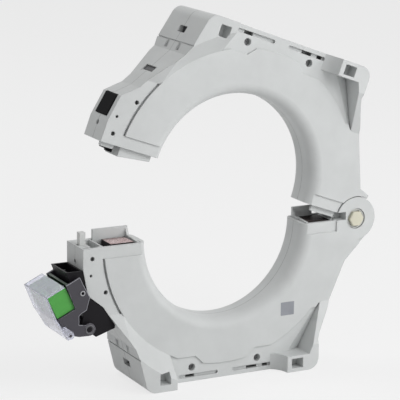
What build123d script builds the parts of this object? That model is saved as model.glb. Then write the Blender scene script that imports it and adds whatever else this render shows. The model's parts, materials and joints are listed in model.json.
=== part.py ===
from build123d import *
import os
from math import cos, hypot, radians, sin, sqrt

# Window and ring
window_r = 60.0
mouth_r = 7.8
ring_pad_r = 91.5
pad_rise = 1.0
band_height = 7.8
edge_groove = 1.3
edge_groove_depth = 1.3

# Housing
face_depth = 13.3
wall = 2.5
side_x = 106.5
side_straight = 14.0
shoulder_x = 103.0
shoulder_h = 32.0
cheek_x = 92.0
cheek_h = 41.0
foot_side_x = 72.5
foot_side_h = 70.4
foot_toe_x = 66.5
base_h = 102.0
toe_rise = 8.0
base_corner_r = 8.0
flank_x = 80.5
flank_h = 61.0
rim_x = 70.0
rim_rise = 25.0
rim_ramp_h = 57.0
rim_ramp_run = 27.0
heel_x = 68.0
mount_gap = 0.1

# Feet
foot_depth = 26.0
foot_width = 24.0
right_foot_width = 25.0
ramp_start_h = 47.0
ramp_run = 27.0
pocket_depth = 9.0
left_pocket_x = 51.5
left_pocket_rise = 8.8
right_pocket_x = 51.0
right_pocket_rise = 6.0
pocket_width = 8.0
pocket_height = 8.0
flank_fillet = 7.0
valley_depth = 4.5
valley_inner_x = 50.0
valley_outer_x = 60.5
valley_rise = 11.5
valley_top = (74.5, 58.0)

# Core, former and winding
core_inner_r = 67.0
core_width = 17.0
core_half_depth = 7.5
core_setback = 0.1
former_gap = 0.3
former_wall = 0.8
former_start = 30.0
former_flange = 1.5
winding_gap = 0.1
cavity_inner_r = 63.2
cavity_outer_r = 91.0

# Hinge
hinge_x = 102.6
open_angle = 20.0
knuckle_r = 15.5
knuckle_gap = 0.5
knuckle_split = 6.1
split_gap = 0.2
bolt_r = 3.0
bolt_gap = 0.06
hex_across = 10.0
hex_height = 2.9
hex_recess_r = 7.3
hex_recess_depth = 1.5

# Interlocking lips at the mating face
lip_thick = 1.8
lip_gap = 0.3
tongue_high = 7.0
lip_high = 4.0
lip_far_high = 6.6
lip_start_x = 66.3
lip_root = 5.0
tongue_start_x = 64.2
tongue_end_x = 80.0
tongue_far_x = 90.0
lip_end_x = 86.0
bore_lip_gap = 1.0

# Fastener holes: distance from the window axis, distance from the mating face
pin_hole = (99.8, 7.1)
pin_hole_r = 1.5
small_hole = (100.9, 18.5)
small_hole_r = 1.0
end_screw = (90.2, 31.0)
end_screw_head_r = 1.4
base_screw_x = 25.5
base_screw_rise = 10.0
base_screw_head_r = 2.5
screw_sink = 3.5
screw_r = 1.2
screw_gap = 0.1
screw_reach = 9.0
head_height = 2.0
shelf_rise = 18.0

# Latch
catch_width = 4.2
catch_half_depth = 2.3
catch_x = 99.9
catch_high = 8.5
catch_root = 7.0
latch_gap = 0.5
hook_thick = 2.4
hook_x = 98.5
hook_drop = 4.2
hook_half_depth = 4.6
hook_tooth = 1.9
press_travel = 1.5
button_low = 17.0
button_high = 32.0
button_half_depth = 8.7
button_proud = 0.6
button_thick = 3.2
chamber_x = 92.8
pocket_reach = 25.0
pocket_half_depth = 9.4
tab_near_x = 95.0
tab_far_x = 105.0
tab_high = 2.9

# Terminal bracket, holder, cover and plug
bracket_half_depth = 12.8
bracket_top_h = 14.5
bracket_reach = 118.4
bracket_box_h = 34.0
bracket_wall = 1.3
pivot_x = 103.4
pivot_h = 54.0
holder_tilt = 25.3
holder_inner = 15.4
holder_plate = 1.4
plate_hole = (6.3, -25.2)
plate_hole_r = 1.1
boss_r = 4.2
trunnion_r = 1.8
trunnion_gap = 0.08
plug_width = 14.0
plug_height = 16.8
plug_left = -16.2
plug_top = -35.2
plug_poles = 6
plug_pitch = 5.08
board_thick = 1.6
header_thick = 1.3
cover_wall = 1.2
cover_gap = 0.2
cover_pivot_u = -13.8
cover_pivot_v = -4.2
cover_pin_r = 1.0
cover_boss_r = 1.9
cover_tail_r = 2.3
ring_high = 0.3

# Worked out from the sizes above
pad_depth = face_depth + pad_rise
cavity_depth = face_depth - wall
core_outer_r = core_inner_r + core_width
turn = radians(open_angle)
tilt = radians(holder_tilt)
knuckle_clear_r = knuckle_r + knuckle_gap
lip_outer = cavity_depth - lip_gap
lip_inner = lip_outer - lip_thick
holder_outer = holder_inner + holder_plate
cover_inner = holder_outer + cover_gap
cover_outer = cover_inner + cover_wall
foot_toe_h = base_h - toe_rise
rim_h = base_h - rim_rise
notch_shelf_h = base_h - shelf_rise
valley_low_h = base_h - valley_rise

# Local x runs towards the hinge, local y away from the mating face, local z along the window axis
lower = Plane(origin=(0, 0, 0), x_dir=(1, 0, 0), z_dir=(0, 1, 0))
upper = Plane(
    origin=(hinge_x * (1 - cos(turn)), 0, hinge_x * sin(turn)),
    x_dir=(cos(turn), 0, -sin(turn)),
    z_dir=(0, -1, 0),
)
holder_frame = Plane(
    origin=lower.from_local_coords((-pivot_x, pivot_h, 0)),
    x_dir=(cos(tilt), 0, sin(tilt)),
    z_dir=(0, 1, 0),
)


def across(frame, x):
    """Plane across a half at one x: its x runs along the window axis, its y away from the mating face."""
    return Plane(origin=frame.from_local_coords((x, 0, 0)), x_dir=frame.z_dir, z_dir=-frame.x_dir)


def radial(frame, angle):
    """Plane through the window axis at an angle from the hinge side: x outwards, y along the axis."""
    out = frame.x_dir * cos(radians(angle)) + frame.y_dir * sin(radians(angle))
    return Plane(origin=frame.origin, x_dir=out, z_dir=out.cross(frame.z_dir))


def housing_face(fixed):
    """Half of the housing from the front, its mating face along y = 0."""
    reach = knuckle_r * sqrt(0.5)
    shoulder = ((hinge_x - 8.2, reach * 2 + 8.2), (hinge_x + reach, reach))
    if not fixed:
        shoulder = ((hinge_x - 4.2, 21.1), (hinge_x + 4.6, 17.8))
    with BuildSketch() as face:
        with BuildLine():
            Polyline(
                (hinge_x, 0),
                (-side_x, 0),
                (-side_x, side_straight),
                (-shoulder_x, shoulder_h),
                (-cheek_x, cheek_h),
                (-foot_side_x, foot_side_h),
                (-foot_toe_x, foot_toe_h),
                (-foot_toe_x + 2.0, base_h),
                (heel_x, base_h),
                (heel_x, rim_h + 4.0),
                (rim_x, rim_h),
                (flank_x, flank_h),
                *shoulder,
                (hinge_x, 0),
            )
        make_face()
        fillet(face.vertices().group_by(Axis.Y)[-1], radius=base_corner_r)
    return face.sketch


def pad_face():
    """Raised ring pad with two shelves left low for the base screws."""
    with BuildSketch() as pad:
        Circle(ring_pad_r)
        with Locations((0, band_height)):
            Rectangle(2 * side_x, base_h, align=(Align.CENTER, Align.MAX), mode=Mode.SUBTRACT)
        for sign in (-1, 1):
            with BuildLine():
                Polyline(
                    (sign * 17.5, base_h),
                    (sign * 17.5, notch_shelf_h + 5.5),
                    (sign * 23.0, notch_shelf_h),
                    (sign * 37.0, notch_shelf_h),
                    (sign * 37.0, base_h),
                    (sign * 17.5, base_h),
                )
            make_face(mode=Mode.SUBTRACT)
    return pad.sketch


def hinge_side_face(fixed):
    """Raised face between the ring pad and the outline on the hinge side."""
    shoulder = ((hinge_x + 3.5, 18.0), (hinge_x - 8.2, 29.4))
    if not fixed:
        shoulder = ((hinge_x + 3.5, 17.8), (hinge_x - 4.3, 20.7))
    with BuildSketch() as face:
        with BuildLine():
            Polyline(
                (ring_pad_r * 0.7, band_height),
                (hinge_x, band_height),
                *shoulder,
                (flank_x, flank_h),
                (ring_pad_r * 0.7, flank_h),
                (ring_pad_r * 0.7, band_height),
            )
        make_face()
        if fixed:
            with Locations((hinge_x, 0)):
                Rectangle(knuckle_r, band_height, align=(Align.MAX, Align.MIN))
    return face.sketch


def left_foot(frame, side):
    """Solid foot block under the latch end, ramped up from the ring and from the cheek."""
    corner = ring_pad_r * sqrt(0.5)
    rise = foot_depth - face_depth
    with BuildPart() as foot:
        with BuildSketch(frame):
            with BuildLine():
                Polyline(
                    (-ring_pad_r * 0.86, ramp_start_h),
                    (-cheek_x + 4.0, ramp_start_h),
                    (-foot_side_x, foot_side_h),
                    (-foot_toe_x, foot_toe_h),
                    (-foot_toe_x + 2.0, base_h),
                    (-foot_toe_x + foot_width, base_h),
                    (-foot_toe_x + foot_width, 78.0),
                    (-corner, corner),
                    (-ring_pad_r * 0.86, ramp_start_h),
                )
            make_face()
        extrude(amount=side * foot_depth)
        with BuildSketch(across(frame, 0)):
            with BuildLine():
                Polyline(
                    (side * face_depth, ramp_start_h),
                    (side * foot_depth, ramp_start_h + ramp_run),
                    (side * (foot_depth + 1), ramp_start_h + ramp_run),
                    (side * (foot_depth + 1), ramp_start_h - 1),
                    (side * face_depth, ramp_start_h - 1),
                    (side * face_depth, ramp_start_h),
                )
            make_face()
        extrude(amount=side_x, mode=Mode.SUBTRACT)
        with BuildSketch(radial(frame, 135)):
            with BuildLine():
                Polyline(
                    (ring_pad_r, side * pad_depth),
                    (ring_pad_r + rise, side * foot_depth),
                    (ring_pad_r + rise, side * (foot_depth + 1)),
                    (ring_pad_r - 20, side * (foot_depth + 1)),
                    (ring_pad_r - 20, side * pad_depth),
                    (ring_pad_r, side * pad_depth),
                )
            make_face()
        revolve(axis=Axis(frame.origin, frame.z_dir), mode=Mode.SUBTRACT)
        base_edge = foot.edges().filter_by(Axis.Y).sort_by_distance(
            frame.from_local_coords((-foot_toe_x + 2.0, base_h, side * foot_depth / 2))
        )[0]
        fillet(base_edge, radius=base_corner_r)
        with BuildSketch(frame.offset(side * foot_depth)):
            with Locations((-left_pocket_x, base_h - left_pocket_rise)):
                Rectangle(pocket_width, pocket_height)
        extrude(amount=-side * pocket_depth, mode=Mode.SUBTRACT)
    return foot.part


def right_foot(frame, side):
    """Foot block under the hinge end, with a rim that climbs the outline and a scooped inner flank."""
    inner_x = heel_x - right_foot_width
    rise = foot_depth - face_depth
    with BuildPart() as foot:
        with BuildSketch(frame):
            with BuildLine():
                Polyline(
                    (inner_x, base_h),
                    (heel_x, base_h),
                    (heel_x, rim_h + 4.0),
                    (rim_x, rim_h),
                    (flank_x, flank_h),
                    (flank_x + 1.8, rim_ramp_h),
                    (valley_top[0] + 2.0, rim_ramp_h),
                    valley_top,
                    (valley_outer_x, valley_low_h),
                    (inner_x, valley_low_h),
                    (inner_x, base_h),
                )
            make_face()
        extrude(amount=side * foot_depth)
        with BuildSketch(across(frame, hinge_x)):
            with BuildLine():
                Polyline(
                    (side * pad_depth, rim_ramp_h),
                    (side * foot_depth, rim_ramp_h + rim_ramp_run),
                    (side * (foot_depth + 1), rim_ramp_h + rim_ramp_run),
                    (side * (foot_depth + 1), rim_ramp_h - 1),
                    (side * pad_depth, rim_ramp_h - 1),
                    (side * pad_depth, rim_ramp_h),
                )
            make_face()
        extrude(amount=hinge_x, mode=Mode.SUBTRACT)
        with BuildSketch(Plane(origin=frame.from_local_coords((0, base_h, 0)), x_dir=frame.x_dir, z_dir=-frame.y_dir)):
            with BuildLine():
                Polyline(
                    (inner_x + 1, side * (face_depth - 1)),
                    (inner_x - flank_fillet, side * (face_depth - 1)),
                    (inner_x - flank_fillet, side * face_depth),
                )
                RadiusArc(
                    (inner_x - flank_fillet, side * face_depth),
                    (inner_x, side * foot_depth),
                    -side * rise * 1.05,
                )
                Polyline((inner_x, side * foot_depth), (inner_x + 1, side * foot_depth), (inner_x + 1, side * (face_depth - 1)))
            make_face()
        extrude(amount=base_h - valley_low_h)
        base_edge = foot.edges().filter_by(Axis.Y).sort_by_distance(
            frame.from_local_coords((heel_x, base_h, side * foot_depth / 2))
        )[0]
        fillet(base_edge, radius=base_corner_r)
        with BuildSketch(frame.offset(side * foot_depth)):
            with Locations((right_pocket_x, base_h - right_pocket_rise)):
                Rectangle(pocket_width + 1.0, pocket_height - 1.0)
        extrude(amount=-side * pocket_depth, mode=Mode.SUBTRACT)
    return foot.part


# Long slots above the base, each with the deeper windows in it
base_slots = (
    (-35.4, -5.2, ((-29.6, -22.7),)),
    (6.1, 36.4, ((18.0, 26.0), (30.7, 34.8))),
)


def shell_recesses(frame, side):
    """What is cut from every shell: window, core channel, valley, slots and side openings."""
    with BuildPart() as cuts:
        with BuildSketch(radial(frame, 0)):
            with BuildLine():
                Polyline(
                    (0, -side),
                    (window_r, -side),
                    (window_r, side * (pad_depth - mouth_r)),
                )
                RadiusArc(
                    (window_r, side * (pad_depth - mouth_r)),
                    (window_r + mouth_r, side * pad_depth),
                    side * mouth_r,
                )
                Polyline(
                    (window_r + mouth_r, side * pad_depth),
                    (window_r + mouth_r, side * (pad_depth + 1)),
                    (0, side * (pad_depth + 1)),
                    (0, -side),
                )
            make_face()
        revolve(axis=Axis(frame.origin, frame.z_dir))
        with BuildSketch(frame):
            Circle(cavity_outer_r)
            Circle(cavity_inner_r, mode=Mode.SUBTRACT)
            with Locations((0, -1)):
                Rectangle(4 * side_x, side_x, align=(Align.CENTER, Align.MAX), mode=Mode.SUBTRACT)
            with Locations((hinge_x, 0)):
                Circle(knuckle_clear_r + wall * 0.8, mode=Mode.SUBTRACT)
        extrude(amount=side * cavity_depth)
        for h, inner, outer, deep in (
            (valley_top[1], valley_top[0] - 0.6, valley_top[0], 0.3),
            (valley_low_h, valley_inner_x, valley_outer_x, valley_depth),
        ):
            level = Plane(origin=frame.from_local_coords((0, h, 0)), x_dir=frame.x_dir, z_dir=-frame.y_dir)
            with BuildSketch(level):
                with BuildLine():
                    Polyline(
                        (inner, side * face_depth),
                        (outer, side * (face_depth - deep)),
                        (outer, side * (foot_depth + 1)),
                        (inner, side * (foot_depth + 1)),
                        (inner, side * face_depth),
                    )
                make_face()
        loft()
        for start, stop, windows in base_slots:
            with BuildSketch(frame.offset(side * face_depth)):
                with Locations(((start + stop) / 2, base_h - 4.1)):
                    RectangleRounded(stop - start, 2.4, 1.1)
            extrude(amount=-side * 1.6)
            for left, right in windows:
                with BuildSketch(frame.offset(side * face_depth)):
                    with Locations(((left + right) / 2, base_h - 4.1)):
                        Rectangle(right - left, 2.4)
                extrude(amount=-side * 6.0)
        with BuildSketch(frame.offset(side * (face_depth - edge_groove_depth))):
            Circle(ring_pad_r + edge_groove)
            Circle(ring_pad_r, mode=Mode.SUBTRACT)
            with Locations((0, band_height)):
                Rectangle(4 * side_x, side_x, align=(Align.CENTER, Align.MAX), mode=Mode.SUBTRACT)
            with Locations((0, ramp_start_h)):
                Rectangle(4 * side_x, side_x, align=(Align.CENTER, Align.MIN), mode=Mode.SUBTRACT)
            Rectangle(side_x, side_x, align=(Align.MIN, Align.MIN), mode=Mode.SUBTRACT)
        extrude(amount=side * (edge_groove_depth + 0.1))
        with BuildSketch(frame):
            with Locations((-foot_toe_x, base_h - 15.6)):
                Rectangle(16.0, 4.6)
        extrude(amount=side * 5.0)
        foot_slope = (foot_side_x - foot_toe_x) / (foot_toe_h - foot_side_h)
        with BuildSketch(frame):
            with Locations((-foot_side_x + 7.1 * foot_slope, foot_side_h + 7.1)):
                Rectangle(1.2, 0.8)
        extrude(amount=side * foot_depth)
        with BuildSketch(frame.offset(side * 6.2)):
            with Locations((-foot_side_x + 4.5 * foot_slope, foot_side_h + 4.5)):
                Rectangle(2.4, 6.0)
        extrude(amount=side * 4.4)
        with BuildSketch(frame):
            with Locations(((-cheek_x - foot_side_x) / 2 - 1.0, (cheek_h + foot_side_h) / 2 - 1.5)):
                Rectangle(7.0, 2.4, rotation=33.5)
        extrude(amount=side * 7.5)
        with BuildSketch(across(frame, -side_x + 2 * wall)):
            with Locations((0, 11.0)):
                Circle(1.7)
        extrude(amount=2 * wall)
    return cuts.part


def hinge_cut(frame, start, stop, radius):
    """Round space about the hinge axis between two depths."""
    with BuildPart() as space:
        with BuildSketch(frame.offset(start)):
            with Locations((hinge_x, 0)):
                Circle(radius)
        extrude(amount=stop - start)
    return space.part


def screw_places():
    """Places of the three shell screws of a half, with the radius of each head."""
    return [
        (-end_screw[0], end_screw[1], end_screw_head_r),
        (-base_screw_x, base_h - base_screw_rise, base_screw_head_r),
        (base_screw_x, base_h - base_screw_rise, base_screw_head_r),
    ]


def housing_shell(frame, side, front, fixed):
    """One moulded shell. side: which way from the parting plane; front: the face with the screws;
    fixed: the half with the outer knuckles and the catch."""
    with BuildPart() as shell:
        with BuildSketch(frame):
            add(housing_face(fixed))
        extrude(amount=side * face_depth)
        with BuildSketch(frame):
            add(pad_face())
        extrude(amount=side * pad_depth)
        with BuildSketch(frame):
            add(hinge_side_face(fixed))
        extrude(amount=side * pad_depth)
        add(left_foot(frame, side))
        add(right_foot(frame, side))
        add(shell_recesses(frame, side), mode=Mode.SUBTRACT)

        # Knuckles of the hinge
        if fixed:
            add(hinge_cut(frame, 0, side * (knuckle_split + split_gap), knuckle_clear_r), mode=Mode.SUBTRACT)
            with BuildSketch(frame.offset(side * (knuckle_split + split_gap))):
                with Locations((hinge_x, 0)):
                    Circle(knuckle_r)
                with Locations((hinge_x - 8.3, 0)):
                    Rectangle(knuckle_r, 5.5, align=(Align.MAX, Align.MAX), mode=Mode.SUBTRACT)
            extrude(amount=side * (pad_depth - knuckle_split - split_gap))
            add(hinge_cut(frame, side * (pad_depth - hex_recess_depth), side * (pad_depth + 1), hex_recess_r),
                mode=Mode.SUBTRACT)
        else:
            add(hinge_cut(frame, side * knuckle_split, side * (foot_depth + 1), knuckle_clear_r), mode=Mode.SUBTRACT)
            with BuildSketch(frame):
                with Locations((hinge_x, 0)):
                    Circle(knuckle_r)
            extrude(amount=side * knuckle_split)
        add(hinge_cut(frame, -side, side * (pad_depth + 1), bolt_r + bolt_gap), mode=Mode.SUBTRACT)

        # Interlocking lips
        if fixed:
            add_tongue = not front
            if add_tongue:
                for start, stop in ((-tongue_far_x, -tongue_start_x), (tongue_start_x, tongue_end_x)):
                    with BuildSketch(frame.offset(side * lip_inner)):
                        with Locations(((start + stop) / 2, -tongue_high)):
                            Rectangle(stop - start, tongue_high + lip_root, align=(Align.CENTER, Align.MIN))
                    extrude(amount=side * lip_thick)
                    with BuildSketch(frame.offset(side * lip_inner)):
                        with Locations(((start + stop) / 2, 0.3)):
                            Rectangle(stop - start, lip_root - 0.3, align=(Align.CENTER, Align.MIN))
                    extrude(amount=side * (lip_thick + lip_gap + 0.1))
            rise = ((0.6, -1.3), (0.8, -tongue_high * 0.75), (1.0, -tongue_high * 0.85))
            if front:
                rise = ((1.0, -0.3),)
            outer = cavity_inner_r + bore_lip_gap + 1.7
            for x in (-cavity_inner_r - bore_lip_gap, outer):
                with BuildSketch(across(frame, x)):
                    with BuildLine():
                        Polyline(
                            (0, -1.0),
                            *[(side * lip_outer * share, h) for share, h in rise],
                            (side * lip_outer, lip_root),
                            (0, lip_root),
                            (0, -1.0),
                        )
                    make_face()
                extrude(amount=1.7)
            for x in (-cavity_inner_r + 0.7, outer):
                with BuildSketch(across(frame, x)):
                    with Locations((side * lip_outer / 2, 0.5)):
                        Rectangle(lip_outer, lip_root - 0.5, align=(Align.CENTER, Align.MIN))
                extrude(amount=bore_lip_gap + 2.4)
            with BuildSketch(frame.offset(side * (lip_inner - lip_gap))):
                with Locations((cavity_outer_r - 8.0, -1)):
                    Rectangle(lip_end_x + 0.8 - cavity_outer_r + 8.0, lip_high + 1.8, align=(Align.MIN, Align.MIN))
            extrude(amount=side * (lip_thick + 2 * lip_gap), mode=Mode.SUBTRACT)
        else:
            if front:
                for far, start, stop in ((lip_far_high, -90.2, -lip_start_x), (lip_high, lip_end_x, lip_start_x)):
                    with BuildSketch(frame.offset(side * lip_inner)):
                        with BuildLine():
                            Polyline(
                                (start, -far),
                                (stop, -lip_high),
                                (stop, lip_root),
                                (start, lip_root),
                                (start, -far),
                            )
                        make_face()
                    extrude(amount=side * lip_thick)
                    with BuildSketch(frame.offset(side * lip_inner)):
                        with Locations(((start + stop) / 2, 0.3)):
                            Rectangle(abs(stop - start), lip_root - 0.3, align=(Align.CENTER, Align.MIN))
                    extrude(amount=side * (lip_thick + lip_gap + 0.1))
            end_reach = lip_outer if front else lip_inner - lip_gap
            with BuildSketch(across(frame, -88.5)):
                with Locations((side * end_reach / 2, -lip_far_high)):
                    Rectangle(end_reach, lip_far_high + lip_root, align=(Align.CENTER, Align.MIN))
            extrude(amount=1.7)
            with BuildSketch(across(frame, -88.5)):
                with Locations((side * end_reach / 2, 0.5)):
                    Rectangle(end_reach, lip_root - 0.5, align=(Align.CENTER, Align.MIN))
            extrude(amount=3.0)

        # Latch spaces
        if fixed:
            with BuildSketch(frame):
                with Locations((-catch_x - catch_width / 2, -1)):
                    Rectangle(catch_width, catch_root + 1, align=(Align.CENTER, Align.MIN))
            extrude(amount=side * catch_half_depth, mode=Mode.SUBTRACT)
            with BuildSketch(frame):
                with Locations((-hook_x - 0.4, -1)):
                    Rectangle(hook_x + 0.4 - chamber_x + 0.6, pocket_reach + 1, align=(Align.MIN, Align.MIN))
            extrude(amount=side * pocket_half_depth, mode=Mode.SUBTRACT)
            with BuildSketch(frame):
                with Locations((-catch_x - catch_width, -1)):
                    Rectangle(1.2, 5.0, align=(Align.MAX, Align.MIN))
            extrude(amount=side * 1.6, mode=Mode.SUBTRACT)
            if front:
                with BuildSketch(frame.offset(side * (lip_inner - lip_gap))):
                    with Locations((-(tab_near_x + tab_far_x) / 2, -1)):
                        Rectangle(tab_far_x - tab_near_x + 1.0, tab_high + 1.5, align=(Align.CENTER, Align.MIN))
                extrude(amount=side * (lip_thick + 2 * lip_gap), mode=Mode.SUBTRACT)
        else:
            with BuildSketch(frame):
                with Locations((-chamber_x, -1)):
                    Rectangle(
                        catch_x + catch_width + latch_gap - chamber_x, button_low + 1, align=(Align.MAX, Align.MIN)
                    )
            extrude(amount=side * (hook_half_depth + latch_gap), mode=Mode.SUBTRACT)
            with BuildSketch(frame):
                with BuildLine():
                    Polyline(
                        (-chamber_x, side_straight + 1.0),
                        (-side_x + wall, side_straight + 1.0),
                        (-shoulder_x + wall, shoulder_h + 1.0),
                        (-chamber_x - 1.6, shoulder_h + 1.0),
                        (-chamber_x, shoulder_h - 5.5),
                        (-chamber_x, side_straight + 1.0),
                    )
                make_face()
            extrude(amount=side * (button_half_depth + 0.6), mode=Mode.SUBTRACT)
            with BuildSketch(frame):
                with Locations((-side_x - 1, button_low - 0.3)):
                    Rectangle(8.0, button_high - button_low + 0.6, align=(Align.MIN, Align.MIN))
            extrude(amount=side * (button_half_depth + 0.3), mode=Mode.SUBTRACT)

            if front:
                with BuildSketch(frame.offset(side * lip_inner)) as tab:
                    with Locations((-(tab_near_x + tab_far_x) / 2, -tab_high)):
                        Rectangle(tab_far_x - tab_near_x, tab_high + 1.0, align=(Align.CENTER, Align.MIN))
                    fillet(tab.vertices().group_by(Axis.Y)[0], radius=1.2)
                extrude(amount=side * lip_thick)

        # Holes
        for x, h, head_r in screw_places():
            if front:
                with BuildSketch(frame.offset(side * (foot_depth + 1))):
                    with Locations((x, h)):
                        Circle(head_r + screw_gap)
                extrude(amount=-side * (foot_depth + 1 - face_depth + screw_sink + head_height), mode=Mode.SUBTRACT)
            with BuildSketch(frame.offset(-side)):
                with Locations((x, h)):
                    Circle(screw_r + screw_gap)
            extrude(amount=side * (screw_reach + 1), mode=Mode.SUBTRACT)
        if front:
            for place, radius, sink in ((pin_hole, pin_hole_r, 3.4), (small_hole, small_hole_r, 2.8)):
                with BuildSketch(frame.offset(side * face_depth)):
                    with Locations((-place[0], place[1])):
                        Circle(radius)
                extrude(amount=-side * sink, mode=Mode.SUBTRACT)
    return shell.part


def c_core(frame):
    """Half of the strip-wound ring core, its poles just under the mating face."""
    with BuildPart() as core:
        with BuildSketch(frame.offset(-core_half_depth)):
            Circle(core_outer_r)
            Circle(core_inner_r, mode=Mode.SUBTRACT)
            with Locations((0, core_setback)):
                Rectangle(4 * side_x, side_x, align=(Align.CENTER, Align.MAX), mode=Mode.SUBTRACT)
        extrude(amount=2 * core_half_depth)
    return core.part


def former_section(gap, thick):
    """Rectangular tube section around the core."""
    inner_w = core_width + 2 * gap
    inner_d = 2 * (core_half_depth + gap)
    with BuildSketch() as section:
        with Locations(((core_inner_r + core_outer_r) / 2, 0)):
            Rectangle(inner_w + 2 * thick, inner_d + 2 * thick)
            Rectangle(inner_w, inner_d, mode=Mode.SUBTRACT)
    return section.sketch


def coil_former(frame):
    """Moulded former in two end flanges and a tube bent along the core."""
    arc = 180 - 2 * former_start
    flange_angle = former_flange / core_outer_r * 57.3
    with BuildPart() as former:
        with BuildSketch(radial(frame, former_start)):
            add(former_section(former_gap, former_wall))
        revolve(axis=Axis(frame.origin, frame.z_dir), revolution_arc=arc)
        for angle in (former_start, 180 - former_start - flange_angle):
            with BuildSketch(radial(frame, angle)):
                add(former_section(former_gap, cavity_depth - core_half_depth - 2 * former_gap))
            revolve(axis=Axis(frame.origin, frame.z_dir), revolution_arc=flange_angle)
    return former.part


def secondary_winding(frame):
    """Taped secondary winding between the flanges of the former."""
    start = former_start + former_flange / core_outer_r * 57.3 + 0.1
    with BuildPart() as winding:
        with BuildSketch(radial(frame, start)):
            add(former_section(former_gap + former_wall + winding_gap, 1.1))
        revolve(axis=Axis(frame.origin, frame.z_dir), revolution_arc=180 - 2 * start)
    return winding.part


def shell_screws(frame, front_side):
    """Pan-head self-tapping screws that close the two shells of a half."""
    with BuildPart() as screws:
        for x, h, head_r in screw_places():
            seat = face_depth - screw_sink - head_height
            with BuildSketch(frame.offset(front_side * seat)):
                with Locations((x, h)):
                    Circle(head_r)
            extrude(amount=front_side * head_height)
            with BuildSketch(frame.offset(front_side * seat)):
                with Locations((x, h)):
                    Circle(screw_r)
            extrude(amount=-front_side * (seat + screw_reach - 1.0))
            with BuildSketch(frame.offset(front_side * (seat + head_height))):
                with Locations((x, h)):
                    Rectangle(head_r * 1.3, 0.5)
                    Rectangle(0.5, head_r * 1.3)
            extrude(amount=-front_side * head_height * 0.5, mode=Mode.SUBTRACT)
    return screws.part


# Housing shells
lower_front_shell = housing_shell(lower, -1, True, True)
lower_rear_shell = housing_shell(lower, 1, False, True)
upper_front_shell = housing_shell(upper, 1, True, False)
upper_rear_shell = housing_shell(upper, -1, False, False)

# Magnetic parts
lower_core = c_core(lower)
upper_core = c_core(upper)
lower_former = coil_former(lower)
upper_former = coil_former(upper)
lower_winding = secondary_winding(lower)
upper_winding = secondary_winding(upper)
lower_screws = shell_screws(lower, -1)
upper_screws = shell_screws(upper, 1)

# Hinge bolt with its hex head in the front knuckle, and the nut at the back
with BuildPart() as hinge_bolt:
    with BuildSketch(lower.offset(-(pad_depth - hex_recess_depth))):
        with Locations((hinge_x, 0)):
            RegularPolygon(hex_across / 2, 6, major_radius=False)
    extrude(amount=-hex_height)
    chamfer(hinge_bolt.faces().sort_by(Axis.Y)[0].edges(), length=0.5)
    with BuildSketch(lower.offset(-(pad_depth - hex_recess_depth))):
        with Locations((hinge_x, 0)):
            Circle(bolt_r)
    extrude(amount=2 * (pad_depth - hex_recess_depth) + hex_height)
with BuildPart() as hinge_nut:
    with BuildSketch(lower.offset(pad_depth - hex_recess_depth)):
        with Locations((hinge_x, 0)):
            RegularPolygon(hex_across / 2, 6, major_radius=False)
            Circle(bolt_r + bolt_gap, mode=Mode.SUBTRACT)
    extrude(amount=hex_height - 0.5)

# Catch post on the lower half, with the window that the latch tooth enters
with BuildPart() as latch_catch:
    with BuildSketch(lower.offset(-catch_half_depth)):
        with Locations((-catch_x - catch_width / 2, -catch_high)):
            Rectangle(catch_width, catch_high + catch_root, align=(Align.CENTER, Align.MIN))
    extrude(amount=2 * catch_half_depth)
    with BuildSketch(lower.offset(-catch_half_depth + 1.0)):
        with Locations((-catch_x, -catch_high + 2.2)):
            Rectangle(hook_tooth + 1.0, 3.4, align=(Align.MAX, Align.MIN))
    extrude(amount=2 * catch_half_depth - 2.0, mode=Mode.SUBTRACT)

# Button cap and springy hook plate of the latch, on the upper half
slope = (side_x - shoulder_x) / (shoulder_h - side_straight)


def side_at(h):
    """Distance of the sloped side face from the window axis at one height."""
    return side_x - (h - side_straight) * slope


with BuildPart() as latch_button:
    with BuildSketch(upper.offset(-button_half_depth)):
        with BuildLine():
            Polyline(
                (-side_at(button_low) - button_proud, button_low),
                (-side_at(button_high) - button_proud, button_high),
                (-side_at(button_high) - button_proud + button_thick, button_high),
                (-side_at(button_low) - button_proud + button_thick, button_low),
                (-side_at(button_low) - button_proud, button_low),
            )
        make_face()
    extrude(amount=2 * button_half_depth)
    fillet(latch_button.faces().sort_by(Axis(upper.origin, upper.x_dir))[0].edges(), radius=0.5)
with BuildPart() as latch_hook:
    with BuildSketch(upper.offset(-hook_half_depth)):
        with BuildLine():
            Polyline(
                (-hook_x, -hook_drop + 1.5),
                (-hook_x + 1.0, -hook_drop),
                (-hook_x + hook_thick, -hook_drop),
                (-hook_x + hook_thick, button_high - 6.5),
                (-side_at(button_high - 6.5) - button_proud + button_thick, button_high - 6.5),
                (-side_at(button_low + 3) - button_proud + button_thick, button_low + 3),
                (-hook_x, button_low + 3),
                (-hook_x, -hook_drop + 1.5),
            )
        make_face()
    extrude(amount=2 * hook_half_depth)
    with BuildSketch(upper.offset(-catch_half_depth + 1.2)):
        with BuildLine():
            Polyline(
                (-hook_x + 0.5, catch_high - 2.8),
                (-hook_x - hook_tooth, catch_high - 2.8),
                (-hook_x, catch_high - 5.0),
                (-hook_x + 0.5, catch_high - 5.0),
                (-hook_x + 0.5, catch_high - 2.8),
            )
        make_face()
    extrude(amount=2 * (catch_half_depth - 1.2))

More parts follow.
